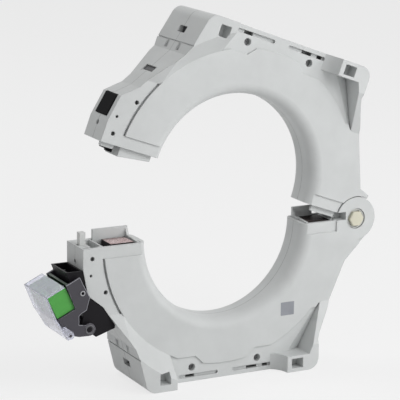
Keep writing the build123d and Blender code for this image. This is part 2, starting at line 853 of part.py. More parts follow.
# Black bracket on the side of the lower half, open at its top
with BuildPart() as terminal_bracket:
    with BuildSketch(lower.offset(-bracket_half_depth)) as bracket_face:
        with BuildLine():
            Polyline(
                (-side_at(bracket_top_h), bracket_top_h),
                (-bracket_reach, bracket_top_h),
                (-pivot_x - 2.6, pivot_h - 8.0),
                (-pivot_x - 4.6, pivot_h - 1.0),
                (-pivot_x + 6.4, pivot_h + 7.0),
                (-cheek_x + 8.8, pivot_h + 2.5),
                (-cheek_x + 8.8, cheek_h + 8.8 * (foot_side_h - cheek_h) / (cheek_x - foot_side_x)),
                (-cheek_x, cheek_h),
                (-shoulder_x, shoulder_h),
                (-side_at(bracket_top_h), bracket_top_h),
            )
        make_face()
    extrude(amount=2 * bracket_half_depth)
    with BuildSketch(lower.offset(-bracket_half_depth + bracket_wall)):
        with BuildLine():
            Polyline(
                (-side_x - bracket_wall, bracket_top_h - 1),
                (-bracket_reach + 1.0, bracket_top_h - 1),
                (-bracket_reach + 9.1, bracket_box_h),
                (-shoulder_x - 1.6, bracket_box_h),
                (-side_x - bracket_wall, bracket_top_h - 1),
            )
        make_face()
    extrude(amount=2 * (bracket_half_depth - bracket_wall), mode=Mode.SUBTRACT)
    with BuildSketch(lower.offset(-bracket_wall / 2)):
        with BuildLine():
            Polyline(
                (-bracket_reach + 0.8, bracket_top_h + 1.5),
                (-bracket_reach + 5.0, bracket_top_h + 1.5),
                (-bracket_reach + 10.5, bracket_box_h + 0.5),
                (-bracket_reach + 8.5, bracket_box_h + 0.5),
                (-bracket_reach + 0.8, bracket_top_h + 1.5),
            )
        make_face()
    extrude(amount=bracket_wall)
    with BuildSketch(lower.offset(-holder_outer - 0.2)):
        with Locations((-pivot_x, pivot_h)):
            Circle(trunnion_r)
    extrude(amount=2 * (holder_outer + 0.2))


def holder_plate_face():
    """Side plate of the terminal holder, pivot at the origin."""
    with BuildSketch() as plate:
        with BuildLine():
            Polyline(
                (-1.6, -36.0),
                (9.2, -36.0),
                (9.1, -30.9),
                (9.6, -20.2),
                (3.7, -13.3),
                (-0.3, -13.3),
                (-2.7, -12.5),
                (-5.5, -6.9),
                (-1.0, -4.1),
                (-2.0, 3.8),
                (-8.7, 0.4),
                (-11.0, -1.6),
                (-12.4, -4.0),
                (-16.0, -6.2),
                (-16.0, -18.2),
                (-2.6, -18.2),
                (-1.6, -36.0),
            )
        make_face()
        Circle(boss_r)
        with Locations(plate_hole):
            Circle(plate_hole_r, mode=Mode.SUBTRACT)
        Circle(trunnion_r + trunnion_gap, mode=Mode.SUBTRACT)
    return plate.sketch


# Dark holder that swings on the bracket, with a floor and a back wall between its plates
with BuildPart() as terminal_holder:
    for start in (-holder_outer, holder_inner):
        with BuildSketch(holder_frame.offset(start)):
            add(holder_plate_face())
        extrude(amount=holder_plate)
        with BuildSketch(holder_frame.offset(start)):
            with Locations((cover_pivot_u, cover_pivot_v)):
                Circle(cover_boss_r)
        extrude(amount=holder_plate)
    for start, outwards in ((-holder_outer, -1), (holder_outer, 1)):
        with BuildSketch(holder_frame.offset(start)):
            with Locations((cover_pivot_u, cover_pivot_v)):
                Circle(cover_pin_r)
        extrude(amount=outwards * (cover_wall + cover_gap))
        with BuildSketch(holder_frame.offset(start)):
            with Locations(plate_hole):
                Circle(plate_hole_r + 0.6)
                Circle(plate_hole_r, mode=Mode.SUBTRACT)
            Circle(trunnion_r + 1.4)
            Circle(trunnion_r + 0.7, mode=Mode.SUBTRACT)
        extrude(amount=outwards * ring_high)
    with BuildSketch(holder_frame.offset(-holder_inner)):
        with Locations((-16.0, -18.2)):
            Rectangle(15.1, 1.8, align=(Align.MIN, Align.MIN))
            Rectangle(1.8, 10.0, align=(Align.MIN, Align.MIN))
    extrude(amount=2 * holder_inner)

# Board, header, pins, plug, clamps and screws of the terminals
with BuildPart() as terminal_board:
    with BuildSketch(holder_frame.offset(-holder_inner + 0.1)):
        with Locations((-0.9, -18.3)):
            Rectangle(board_thick, 17.4, align=(Align.MIN, Align.MAX))
    extrude(amount=2 * (holder_inner - 0.1))
plug_floor = plug_top + plug_height
plug_right = plug_left + plug_width
pole_places = [(i - (plug_poles - 1) / 2) * plug_pitch for i in range(plug_poles)]
plug_half = plug_pitch * plug_poles / 2
with BuildPart() as terminal_header:
    with BuildSketch(holder_frame.offset(-plug_half)):
        with Locations((-0.95, plug_floor)):
            Rectangle(header_thick - 0.1, plug_height - 2.0, align=(Align.MAX, Align.MAX))
    extrude(amount=2 * plug_half)
header_face = Plane(
    origin=holder_frame.from_local_coords((-0.95, 0, 0)), x_dir=holder_frame.z_dir, z_dir=-holder_frame.x_dir
)
with BuildPart() as header_pins:
    with BuildSketch(header_face):
        for place in pole_places:
            with Locations((place, plug_floor - 6.0)):
                Rectangle(1.0, 1.0)
    extrude(amount=header_thick + 6.0)
with BuildPart() as pin_bores:
    with BuildSketch(header_face.offset(-1)):
        for place in pole_places:
            with Locations((place, plug_floor - 6.0)):
                Rectangle(1.1, 1.1)
    extrude(amount=header_thick + 8.0)
with BuildPart() as header_drilled:
    add(terminal_header.part)
    add(pin_bores.part, mode=Mode.SUBTRACT)
with BuildPart() as terminal_plug:
    with BuildSketch(holder_frame.offset(-plug_half)):
        with Locations((plug_left, plug_top)):
            Rectangle(plug_width, plug_height, align=(Align.MIN, Align.MIN))
    extrude(amount=2 * plug_half)
    chamfer(terminal_plug.edges().filter_by(Axis.Y), length=0.6)
    add(pin_bores.part, mode=Mode.SUBTRACT)
    with BuildSketch(header_face.offset(-plug_left - 1.0)):
        for place in pole_places:
            with Locations((place, plug_floor - 5.0)):
                Rectangle(3.4, 4.4)
    extrude(amount=-7.5, mode=Mode.SUBTRACT)
    with BuildSketch(
        Plane(origin=holder_frame.from_local_coords((0, plug_top, 0)), x_dir=holder_frame.z_dir, z_dir=-holder_frame.y_dir)
    ):
        for place in pole_places:
            with Locations((place, -plug_left - 5.0)):
                Circle(1.7)
    extrude(amount=-plug_height + 7.4, mode=Mode.SUBTRACT)
with BuildPart() as plug_clamps:
    with BuildSketch(header_face.offset(-plug_left - 2.6)):
        for place in pole_places:
            with Locations((place, plug_floor - 5.0)):
                Rectangle(3.2, 4.2)
                Rectangle(2.4, 3.0, mode=Mode.SUBTRACT)
    extrude(amount=-5.0)
with BuildPart() as plug_screws:
    with BuildSketch(
        Plane(
            origin=holder_frame.from_local_coords((0, plug_floor - 7.5, 0)),
            x_dir=holder_frame.z_dir,
            z_dir=-holder_frame.y_dir,
        )
    ):
        for place in pole_places:
            with Locations((place, -plug_left - 5.0)):
                Circle(1.6)
    extrude(amount=6.0)
    with BuildSketch(
        Plane(
            origin=holder_frame.from_local_coords((0, plug_floor - 13.5, 0)),
            x_dir=holder_frame.z_dir,
            z_dir=-holder_frame.y_dir,
        )
    ):
        for place in pole_places:
            with Locations((place, -plug_left - 5.0)):
                Rectangle(0.6, 2.6)
    extrude(amount=-0.8, mode=Mode.SUBTRACT)


def tail_point(radius, angle):
    """Point about the cover's pins, the angle counted from the outer side downwards."""
    return (cover_pivot_u - radius * cos(radians(angle)), cover_pivot_v + radius * sin(radians(angle)))


# Clear cover over the plug: an outer and a top wall, with two ears on the holder's pins
with BuildPart() as terminal_cover:
    for start in (-cover_outer, cover_inner):
        with BuildSketch(holder_frame.offset(start)):
            with BuildLine():
                Polyline(
                    (-17.9, -12.0),
                    (-14.6, -12.0),
                    (cover_pivot_u + 2.6, cover_pivot_v - 1.0),
                    (cover_pivot_u, cover_pivot_v + 2.6),
                    (cover_pivot_u - cover_tail_r, cover_pivot_v + 1.2),
                    (-17.4, -8.0),
                    (-17.9, -12.0),
                )
            make_face()
            with Locations((cover_pivot_u, cover_pivot_v)):
                Circle(2.6)
                Circle(cover_pin_r + 0.08, mode=Mode.SUBTRACT)
        extrude(amount=cover_wall)
    with BuildSketch(holder_frame.offset(-cover_outer)):
        with BuildLine():
            Polyline(
                (-18.1, -37.2),
                (-3.6, -37.2),
                (-3.6, -37.2 + cover_wall),
                (-18.1 + cover_wall, -37.2 + cover_wall),
                (-18.9 + cover_wall, -19.0),
                (-17.6 + cover_wall, -8.0),
                (cover_pivot_u - cover_tail_r, cover_pivot_v),
            )
            ThreePointArc(*[tail_point(cover_tail_r, angle) for angle in (0, 20, 40)])
            Line(tail_point(cover_tail_r, 40), tail_point(cover_tail_r + cover_wall, 40))
            ThreePointArc(*[tail_point(cover_tail_r + cover_wall, angle) for angle in (40, 20, 0)])
            Polyline(
                (cover_pivot_u - cover_tail_r - cover_wall, cover_pivot_v),
                (-17.6, -8.0),
                (-18.9, -19.0),
                (-18.1, -37.2),
            )
        make_face()
    extrude(amount=2 * cover_outer)

pieces = {
    "lower_front_shell": lower_front_shell,
    "lower_rear_shell": lower_rear_shell,
    "upper_front_shell": upper_front_shell,
    "upper_rear_shell": upper_rear_shell,
    "lower_core": lower_core,
    "upper_core": upper_core,
    "lower_former": lower_former,
    "upper_former": upper_former,
    "lower_winding": lower_winding,
    "upper_winding": upper_winding,
    "lower_shell_screws": lower_screws,
    "upper_shell_screws": upper_screws,
    "hinge_bolt": hinge_bolt.part,
    "hinge_nut": hinge_nut.part,
    "latch_catch": latch_catch.part,
    "latch_button": latch_button.part,
    "latch_hook": latch_hook.part,
    "terminal_bracket": terminal_bracket.part,
    "terminal_holder": terminal_holder.part,
    "terminal_board": terminal_board.part,
    "terminal_header": header_drilled.part,
    "header_pins": header_pins.part,
    "terminal_plug": terminal_plug.part,
    "plug_clamps": plug_clamps.part,
    "plug_screws": plug_screws.part,
    "terminal_cover": terminal_cover.part,
}
os.makedirs("parts", exist_ok=True)
for name, piece in pieces.items():
    piece.label = name
    export_step(piece, f"parts/{name}.step")
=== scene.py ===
import json
from math import cos, pi, radians, sin

import bmesh
import bpy
from mathutils import Matrix, Vector


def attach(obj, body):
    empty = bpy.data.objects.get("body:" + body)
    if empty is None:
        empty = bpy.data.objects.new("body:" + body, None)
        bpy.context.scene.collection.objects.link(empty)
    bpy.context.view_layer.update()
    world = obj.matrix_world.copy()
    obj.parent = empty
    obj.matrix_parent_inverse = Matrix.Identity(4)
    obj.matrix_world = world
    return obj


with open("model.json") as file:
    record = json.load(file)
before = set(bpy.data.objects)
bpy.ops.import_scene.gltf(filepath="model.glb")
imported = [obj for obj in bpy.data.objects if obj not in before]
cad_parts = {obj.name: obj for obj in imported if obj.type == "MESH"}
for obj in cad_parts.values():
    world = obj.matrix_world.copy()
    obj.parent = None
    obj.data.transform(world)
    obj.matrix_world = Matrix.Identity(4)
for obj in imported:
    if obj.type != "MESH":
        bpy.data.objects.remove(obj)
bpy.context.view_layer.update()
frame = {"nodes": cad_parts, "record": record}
nodes = frame["nodes"]


def new_material(name):
    """An empty node material with its shader and output, returned with the parts that the recipes below wire up."""
    material = bpy.data.materials.new(name)
    material.use_nodes = True
    tree = material.node_tree
    tree.nodes.clear()
    output = tree.nodes.new("ShaderNodeOutputMaterial")
    shader = tree.nodes.new("ShaderNodeBsdfPrincipled")
    tree.links.new(shader.outputs["BSDF"], output.inputs["Surface"])
    place = tree.nodes.new("ShaderNodeTexCoord")
    return material, tree, shader, place.outputs["Object"]


def speckle(tree, place, scale, detail=3.0, roughness=0.55, distortion=0.0):
    """Noise on the object's own coordinates, in cycles per metre."""
    noise = tree.nodes.new("ShaderNodeTexNoise")
    noise.inputs["Scale"].default_value = scale
    noise.inputs["Detail"].default_value = detail
    noise.inputs["Roughness"].default_value = roughness
    noise.inputs["Distortion"].default_value = distortion
    tree.links.new(place, noise.inputs["Vector"])
    return noise.outputs["Fac"]


def between(tree, value, low, high, source_low=0.0, source_high=1.0):
    """Maps a value from one range to another."""
    ranged = tree.nodes.new("ShaderNodeMapRange")
    ranged.inputs["From Min"].default_value = source_low
    ranged.inputs["From Max"].default_value = source_high
    ranged.inputs["To Min"].default_value = low
    ranged.inputs["To Max"].default_value = high
    tree.links.new(value, ranged.inputs["Value"])
    return ranged.outputs["Result"]


def blend_colours(tree, factor, first, second):
    """Mixes two colours, each a plain tuple or a socket."""
    mix = tree.nodes.new("ShaderNodeMix")
    mix.data_type = "RGBA"
    tree.links.new(factor, mix.inputs["Factor"])
    for socket, colour in ((mix.inputs[6], first), (mix.inputs[7], second)):
        if isinstance(colour, tuple):
            socket.default_value = (*colour, 1.0)
        else:
            tree.links.new(colour, socket)
    return mix.outputs[2]


def edge_band(tree, reach):
    """Nearly 1 along sharp edges and 0 on flat faces, from how far a rounded normal leaves the true one."""
    rounded = tree.nodes.new("ShaderNodeBevel")
    rounded.samples = 4
    rounded.inputs["Radius"].default_value = reach
    true_normal = tree.nodes.new("ShaderNodeNewGeometry")
    match = tree.nodes.new("ShaderNodeVectorMath")
    match.operation = "DOT_PRODUCT"
    tree.links.new(rounded.outputs["Normal"], match.inputs[0])
    tree.links.new(true_normal.outputs["Normal"], match.inputs[1])
    return between(tree, match.outputs["Value"], 1.0, 0.0, 0.86, 0.995)


def soft_edges(tree, radius):
    """Normal of a moulded edge with this rounding."""
    rounded = tree.nodes.new("ShaderNodeBevel")
    rounded.samples = 4
    rounded.inputs["Radius"].default_value = radius
    return rounded.outputs["Normal"]


def grain(tree, shader, height, distance, strength, normal=None):
    """Surface relief from a height, in metres."""
    bump = tree.nodes.new("ShaderNodeBump")
    bump.inputs["Distance"].default_value = distance
    bump.inputs["Strength"].default_value = strength
    tree.links.new(height, bump.inputs["Height"])
    if normal is not None:
        tree.links.new(normal, bump.inputs["Normal"])
    tree.links.new(bump.outputs["Normal"], shader.inputs["Normal"])


def parting_line(tree, place, body, colour):
    """Darkens a hairline where the two shells of a half meet, on the plane through the middle of the window."""
    split = tree.nodes.new("ShaderNodeSeparateXYZ")
    tree.links.new(place, split.inputs["Vector"])
    off = tree.nodes.new("ShaderNodeMath")
    off.operation = "ABSOLUTE"
    tree.links.new(split.outputs["Y"], off.inputs[0])
    return blend_colours(tree, between(tree, off.outputs["Value"], 0.0, 1.0, 0.00012, 0.0003), colour, body)


def shaded_hollows(tree, colour, reach, depth, closed=0.04, clear=0.32):
    """Darkens holes, slots and inner corners, which little light reaches.

    closed and clear say how open a spot is where it is darkest, and where it keeps its colour.
    """
    near = tree.nodes.new("ShaderNodeAmbientOcclusion")
    near.samples = 8
    near.inputs["Distance"].default_value = reach
    dim = tree.nodes.new("ShaderNodeMix")
    dim.data_type = "RGBA"
    dim.blend_type = "MULTIPLY"
    dim.inputs["Factor"].default_value = 1.0
    tree.links.new(colour, dim.inputs[6])
    grey = tree.nodes.new("ShaderNodeCombineColor")
    level = between(tree, near.outputs["AO"], 1.0 - depth, 1.0, closed, clear)
    for channel in ("Red", "Green", "Blue"):
        tree.links.new(level, grey.inputs[channel])
    tree.links.new(grey.outputs["Color"], dim.inputs[7])
    return dim.outputs[2]


def moulded_plastic(
    name, colour, scuffed_and_highlit_colour, roughness, grain_size, grain_depth, edge=0.0004, scuff_and_highlight=0.35, mottle=0.03, seam=None, shine=0.45
):
    """Moulded plastic: spark-eroded grain, slight mottling, edges lightened partly by scuffing and partly as a
    painted highlight, and a parting line where there is one, with painted shade in holes, slots and inner corners.

    grain_size, grain_depth and edge, the rounding of its edges, are in metres. The third argument is the colour of a
    lightened edge, partly scuffing and partly painted highlight.
    """
    material, tree, shader, place = new_material(name)
    cloudy = speckle(tree, place, 38.0, 4.0, 0.6)
    dark = tuple(channel * (1.0 - mottle) for channel in colour)
    light = tuple(min(1.0, channel * (1.0 + mottle)) for channel in colour)
    body = blend_colours(tree, between(tree, cloudy, 0.0, 1.0, 0.35, 0.65), dark, light)
    if seam is not None:
        body = parting_line(tree, place, body, seam)
        # Painted shade in holes, slots and inner corners
        body = shaded_hollows(tree, body, reach=0.005, depth=0.85)
    # Edges lightened towards the edge colour: partly scuffing, partly a painted highlight
    scuffed_and_highlit = tree.nodes.new("ShaderNodeMath")
    scuffed_and_highlit.operation = "MULTIPLY"
    tree.links.new(edge_band(tree, edge * 1.6), scuffed_and_highlit.inputs[0])
    tree.links.new(between(tree, speckle(tree, place, 420.0), 0.0, scuff_and_highlight, 0.4, 0.62), scuffed_and_highlit.inputs[1])
    tree.links.new(blend_colours(tree, scuffed_and_highlit.outputs["Value"], body, scuffed_and_highlit_colour), shader.inputs["Base Color"])
    fine = speckle(tree, place, 1.0 / grain_size, 2.0)
    tree.links.new(between(tree, fine, roughness - 0.06, roughness + 0.08, 0.3, 0.7), shader.inputs["Roughness"])
    shader.inputs["Specular IOR Level"].default_value = shine
    grain(tree, shader, fine, grain_depth, 0.6, soft_edges(tree, edge))
    return material


def plain_metal(name, colour, roughness, streak, bump_depth=0.00002):
    """Plated or ground metal with fine marks."""
    material, tree, shader, place = new_material(name)
    marks = speckle(tree, place, streak, 5.0, 0.7)
    dull = tuple(channel * 0.7 for channel in colour)
    plated = blend_colours(tree, between(tree, marks, 0.0, 1.0, 0.35, 0.7), dull, colour)
    tree.links.new(plated, shader.inputs["Base Color"])
    tree.links.new(between(tree, marks, roughness - 0.08, roughness + 0.14, 0.3, 0.7), shader.inputs["Roughness"])
    shader.inputs["Metallic"].default_value = 1.0
    grain(tree, shader, marks, bump_depth, 0.5, soft_edges(tree, 0.00015))
    return material


def strip_core(name):
    """Cut end of a strip-wound core: thin dark layers across the strip's thickness."""
    material, tree, shader, place = new_material(name)
    layers = tree.nodes.new("ShaderNodeTexWave")
    layers.wave_type = "RINGS"
    layers.rings_direction = "Y"
    layers.inputs["Scale"].default_value = 520.0
    layers.inputs["Distortion"].default_value = 0.4
    layers.inputs["Detail"].default_value = 1.0
    tree.links.new(place, layers.inputs["Vector"])
    patches = between(tree, speckle(tree, place, 160.0), 0.0, 1.0, 0.35, 0.65)
    tint = blend_colours(tree, patches, (0.05, 0.04, 0.042), (0.09, 0.075, 0.075))
    layered = blend_colours(tree, layers.outputs["Fac"], (0.02, 0.016, 0.018), tint)
    tree.links.new(layered, shader.inputs["Base Color"])
    tree.links.new(between(tree, layers.outputs["Fac"], 0.6, 0.4), shader.inputs["Roughness"])
    shader.inputs["Metallic"].default_value = 0.6
    grain(tree, shader, layers.outputs["Fac"], 0.00005, 0.5)
    return material


def ground_pole_face(name):
    """Ground ends of the strip layers, pale and slightly pink."""
    material, tree, shader, place = new_material(name)
    patches = between(tree, speckle(tree, place, 220.0), 0.0, 1.0, 0.35, 0.65)
    tint = blend_colours(tree, patches, (0.63, 0.47, 0.47), (0.76, 0.63, 0.62))
    shaded = shaded_hollows(tree, tint, reach=0.035, depth=0.96, closed=0.46, clear=0.82)
    tree.links.new(shaded, shader.inputs["Base Color"])
    tree.links.new(between(tree, speckle(tree, place, 900.0), 0.4, 0.6), shader.inputs["Roughness"])
    shader.inputs["Metallic"].default_value = 0.1
    shader.inputs["Specular IOR Level"].default_value = 0.15
    return material


def wound_tape(name):
    """Yellow tape wrapped round the winding, one turn lapping the next."""
    material, tree, shader, place = new_material(name)
    laps = tree.nodes.new("ShaderNodeTexWave")
    laps.bands_direction = "DIAGONAL"
    laps.inputs["Scale"].default_value = 90.0
    laps.inputs["Distortion"].default_value = 1.2
    tree.links.new(place, laps.inputs["Vector"])
    lapped = blend_colours(tree, laps.outputs["Fac"], (0.55, 0.38, 0.06), (0.75, 0.56, 0.14))
    tree.links.new(lapped, shader.inputs["Base Color"])
    shader.inputs["Roughness"].default_value = 0.35
    grain(tree, shader, laps.outputs["Fac"], 0.00015, 0.6)
    return material


def clear_cover(name):
    """Clear moulded cover, slightly milky, with streaks along its walls and fine scratches."""
    material, tree, shader, place = new_material(name)
    stretch = tree.nodes.new("ShaderNodeMapping")
    stretch.inputs["Scale"].default_value = (0.06, 1.0, 0.06)
    tree.links.new(place, stretch.inputs["Vector"])
    streaks = between(tree, speckle(tree, stretch.outputs["Vector"], 1100.0, 2.0), 0.0, 1.0, 0.4, 0.6)
    lavender = blend_colours(tree, streaks, (0.83, 0.845, 0.98), (0.92, 0.925, 1.0))
    tree.links.new(lavender, shader.inputs["Base Color"])
    haze = speckle(tree, place, 900.0, 4.0, 0.7)
    tree.links.new(between(tree, haze, 0.03, 0.10, 0.4, 0.7), shader.inputs["Roughness"])
    shader.inputs["IOR"].default_value = 1.49
    shader.inputs["Transmission Weight"].default_value = 0.66
    grain(tree, shader, haze, 0.00002, 0.3)
    return material


finishes = {
    "shell_grey": moulded_plastic(
        "shell_grey", (0.60, 0.615, 0.613), (0.68, 0.69, 0.69), 0.46, 0.0006, 0.00004,
        edge=0.0006, seam=(0.30, 0.31, 0.31), shine=0.3,
    ),
    "core_steel": strip_core("core_steel"),
    "former_black": moulded_plastic("former_black", (0.035, 0.035, 0.04), (0.1, 0.1, 0.1), 0.5, 0.0008, 0.00005),
    "winding_tape": wound_tape("winding_tape"),
    "screw_steel": plain_metal("screw_steel", (0.42, 0.42, 0.43), 0.32, 700.0),
    "hinge_ivory": moulded_plastic("hinge_ivory", (0.64, 0.62, 0.50), (0.78, 0.76, 0.66), 0.4, 0.0007, 0.00004),
    "catch_grey": moulded_plastic("catch_grey", (0.62, 0.63, 0.62), (0.78, 0.78, 0.78), 0.42, 0.0007, 0.00004),
    "button_black": moulded_plastic(
        "button_black", (0.006, 0.006, 0.007), (0.10, 0.10, 0.102), 0.38, 0.0006, 0.00004, scuff_and_highlight=0.5, shine=0.02
    ),
    "bracket_black": moulded_plastic(
        "bracket_black", (0.009, 0.008, 0.010), (0.08, 0.076, 0.085), 0.44, 0.0006, 0.00005, shine=0.15
    ),
    # The dark holder's pale edges are mostly a painted highlight
    "holder_dark": moulded_plastic(
        "holder_dark", (0.050, 0.047, 0.058), (0.34, 0.33, 0.37), 0.42, 0.0006, 0.00004, edge=0.0005, scuff_and_highlight=0.9
    ),
    "board_green": moulded_plastic("board_green", (0.006, 0.03, 0.014), (0.05, 0.09, 0.05), 0.35, 0.0012, 0.00003),
    "plug_green": moulded_plastic("plug_green", (0.075, 0.36, 0.06), (0.2, 0.5, 0.16), 0.42, 0.0006, 0.00005),
    "contact_metal": plain_metal("contact_metal", (0.62, 0.61, 0.58), 0.28, 900.0),
    "cover_clear": clear_cover("cover_clear"),
}
slot_of = {piece["node"]: piece["material_slot"] for piece in frame["record"]["subparts"]}
for node, shape in nodes.items():
    finish = finishes[slot_of[node]]
    if not shape.material_slots:
        shape.data.materials.append(finish)
    for place in shape.material_slots:
        place.material = finish


def lying_strips(name, finish, length, width, height, pitch, count):
    """Row of thin strips side by side along x, made by Geometry Nodes; returns the plain mesh."""
    tree = bpy.data.node_groups.new(name, "GeometryNodeTree")
    names = {"Length": length, "Width": width, "Height": height, "Pitch": pitch, "Count": count}
    sockets = {}
    for label in names:
        kind = "NodeSocketInt" if label == "Count" else "NodeSocketFloat"
        sockets[label] = tree.interface.new_socket(label, in_out="INPUT", socket_type=kind)
    tree.interface.new_socket("Geometry", in_out="OUTPUT", socket_type="NodeSocketGeometry")
    sizes = tree.nodes.new("NodeGroupInput")
    result = tree.nodes.new("NodeGroupOutput")
    strip_size = tree.nodes.new("ShaderNodeCombineXYZ")
    tree.links.new(sizes.outputs["Width"], strip_size.inputs["X"])
    tree.links.new(sizes.outputs["Length"], strip_size.inputs["Y"])
    tree.links.new(sizes.outputs["Height"], strip_size.inputs["Z"])
    strip = tree.nodes.new("GeometryNodeMeshCube")
    tree.links.new(strip_size.outputs["Vector"], strip.inputs["Size"])
    step = tree.nodes.new("ShaderNodeCombineXYZ")
    tree.links.new(sizes.outputs["Pitch"], step.inputs["X"])
    row = tree.nodes.new("GeometryNodeMeshLine")
    tree.links.new(sizes.outputs["Count"], row.inputs["Count"])
    tree.links.new(step.outputs["Vector"], row.inputs["Offset"])
    spread = tree.nodes.new("GeometryNodeInstanceOnPoints")
    tree.links.new(row.outputs["Mesh"], spread.inputs["Points"])
    tree.links.new(strip.outputs["Mesh"], spread.inputs["Instance"])
    real = tree.nodes.new("GeometryNodeRealizeInstances")
    tree.links.new(spread.outputs["Instances"], real.inputs["Geometry"])
    coat = tree.nodes.new("GeometryNodeSetMaterial")
    coat.inputs["Material"].default_value = finish
    tree.links.new(real.outputs["Geometry"], coat.inputs["Geometry"])
    tree.links.new(coat.outputs["Geometry"], result.inputs[0])

    carrier = bpy.data.objects.new(name, bpy.data.meshes.new(name))
    bpy.context.scene.collection.objects.link(carrier)
    maker = carrier.modifiers.new("strips", "NODES")
    maker.node_group = tree
    for label, size in names.items():
        maker[sockets[label].identifier] = size
    bpy.context.view_layer.update()
    plain = bpy.data.meshes.new_from_object(carrier.evaluated_get(bpy.context.evaluated_depsgraph_get()))
    bpy.data.objects.remove(carrier)
    return plain


def joined_piece(name, body, slot, placed_meshes, finish=None):
    """One object at the origin from meshes, each with the matrix that puts it in its place.

    It has its slot's own finish, unless another is given.
    """
    whole = bmesh.new()
    for mesh, place in placed_meshes:
        part = bmesh.new()
        part.from_mesh(mesh)
        part.transform(place)
        held = bpy.data.meshes.new(name)
        part.to_mesh(held)
        part.free()
        whole.from_mesh(held)
    bmesh.ops.recalc_face_normals(whole, faces=whole.faces)
    mesh = bpy.data.meshes.new(name)
    whole.to_mesh(mesh)
    whole.free()
    mesh.materials.append(finish or finishes[slot])
    piece = bpy.data.objects.new(name, mesh)
    bpy.context.scene.collection.objects.link(piece)
    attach(piece, body)


# Where the two turned groups stand: the upper half, lifted about the hinge, and the terminal holder
hinge_x = 0.1026
lifted_by = radians(20.0)
to_hinge = Matrix.Translation((hinge_x, 0.0, 0.0))
lift = to_hinge @ Matrix.Rotation(lifted_by, 4, "Y") @ to_hinge.inverted()
holder_tilt = radians(25.3)
pivot_x, pivot_z = -0.1034, -0.054
holder_place = Matrix((
    (cos(holder_tilt), sin(holder_tilt), 0.0, pivot_x),
    (0.0, 0.0, 1.0, 0.0),
    (sin(holder_tilt), -cos(holder_tilt), 0.0, pivot_z),
    (0.0, 0.0, 0.0, 1.0),
))

# Cut edges of the wound strip on the four pole faces of the core
pole_face = ground_pole_face("pole_face")
strip_pitch = 0.00055
strip_count = 30
strip_length, strip_width, strip_height = 0.0148, 0.00045, 0.00012
strip_sink = 0.00008
pole_middle = 0.0755
row_start = -strip_pitch * (strip_count - 1) / 2
strip_mesh = lying_strips("pole_strips", pole_face, strip_length, strip_width, strip_height, strip_pitch, strip_count)
for name, body, sink, stand in (
    ("lower_pole_strips", "lower_half", -strip_sink, Matrix.Identity(4)),
    ("upper_pole_strips", "upper_half", strip_sink, lift),
):
    rows = [stand @ Matrix.Translation((side * pole_middle + row_start, 0.0, sink)) for side in (-1, 1)]
    joined_piece(name, body, "core_steel", [(strip_mesh, row) for row in rows], pole_face)


def bead_ring(radius, half_width, half_height, steps=48, sides=10):
    """Ring with a rounded section, flat in its own x and y."""
    ring = bmesh.new()
    rows = []
    for i in range(steps):
        round_it = 2 * pi * i / steps
        row = []
        for j in range(sides):
            over = 2 * pi * j / sides
            reach = radius + half_width * cos(over)
            row.append(ring.verts.new((reach * cos(round_it), reach * sin(round_it), half_height * sin(over))))
        rows.append(row)
    for i, row in enumerate(rows):
        following = rows[(i + 1) % steps]
        for j in range(sides):
            k = (j + 1) % sides
            ring.faces.new((row[j], following[j], following[k], row[k]))
    mesh = bpy.data.meshes.new("bead_ring")
    ring.to_mesh(mesh)
    ring.free()
    for face in mesh.polygons:
        face.use_smooth = True
    return mesh


# Pale rims round the hole and the pivot in the holder's two plates, in the holder's own frame
plate_face = 0.01715
for name, across_plate, up_plate, radius, shade in (
    ("hole_rims", 0.0063, -0.0252, 0.00145, 0.42),
    ("pivot_rims", 0.0, 0.0, 0.0028, 0.13),
):
    rims = []
    for side in (-1, 1):
        place = Matrix.Translation((across_plate, up_plate, side * plate_face))
        rims.append((bead_ring(radius, 0.00038, 0.0002), holder_place @ place))
    pale, paler = (shade, shade, shade * 1.05), (shade * 1.4,) * 3
    pale_rim = moulded_plastic(name, pale, paler, 0.35, 0.0005, 0.00001, edge=0.0001)
    joined_piece(name, "terminal_carrier", "holder_dark", rims, pale_rim)


# Pale sleeve rim round the hinge bolt's head, and round the nut at the back
sleeve = moulded_plastic("sleeve_grey", (0.60, 0.61, 0.60), (0.8, 0.8, 0.8), 0.4, 0.0006, 0.00002, edge=0.0001)
sleeve_radius = 0.00655
hinge_face = 0.0131
sleeve_rims = []
for side in (-1, 1):
    seat = Matrix.Translation((hinge_x, side * hinge_face, 0.0)) @ Matrix.Rotation(radians(90.0), 4, "X")
    sleeve_rims.append((bead_ring(sleeve_radius, 0.00055, 0.0006, 64, 12), seat))
joined_piece("sleeve_rims", "lower_half", "shell_grey", sleeve_rims, sleeve)


def bead_line(points, radius):
    """Thin round bead along a line of points."""
    line = bpy.data.curves.new("bead_line", "CURVE")
    line.dimensions = "3D"
    line.bevel_depth = radius
    line.bevel_resolution = 2
    line.use_fill_caps = True
    run = line.splines.new("POLY")
    run.points.add(len(points) - 1)
    for spot, point in zip(run.points, points):
        spot.co = (*point, 1.0)
    carrier = bpy.data.objects.new("bead_line", line)
    bpy.context.scene.collection.objects.link(carrier)
    bpy.context.view_layer.update()
    mesh = bpy.data.meshes.new_from_object(carrier.evaluated_get(bpy.context.evaluated_depsgraph_get()))
    bpy.data.objects.remove(carrier)
    return mesh


# Pale beads along the edges of the holder's two plates: a painted highlight where the edges catch the light
plate_outline = (
    (-0.0016, -0.0359), (0.0091, -0.0359), (0.0090, -0.0309),
    (0.0095, -0.0202), (0.0037, -0.0134), (-0.0003, -0.0134),
    (-0.0027, -0.0126), (-0.0054, -0.0069), (-0.0030, -0.0053),
)
edge_face = 0.01675
edge_radius = 0.00028
edges = []
for side in (-1, 1):
    edges.append((bead_line([(u, v, side * edge_face) for u, v in plate_outline], edge_radius), holder_place))
painted_edge_highlight = moulded_plastic(
    "painted_edge_highlight", (0.28, 0.28, 0.31), (0.50, 0.50, 0.54), 0.4, 0.0005, 0.00001, edge=0.0001, scuff_and_highlight=0.8
)
joined_piece("plate_edge_highlights", "terminal_carrier", "holder_dark", edges, painted_edge_highlight)

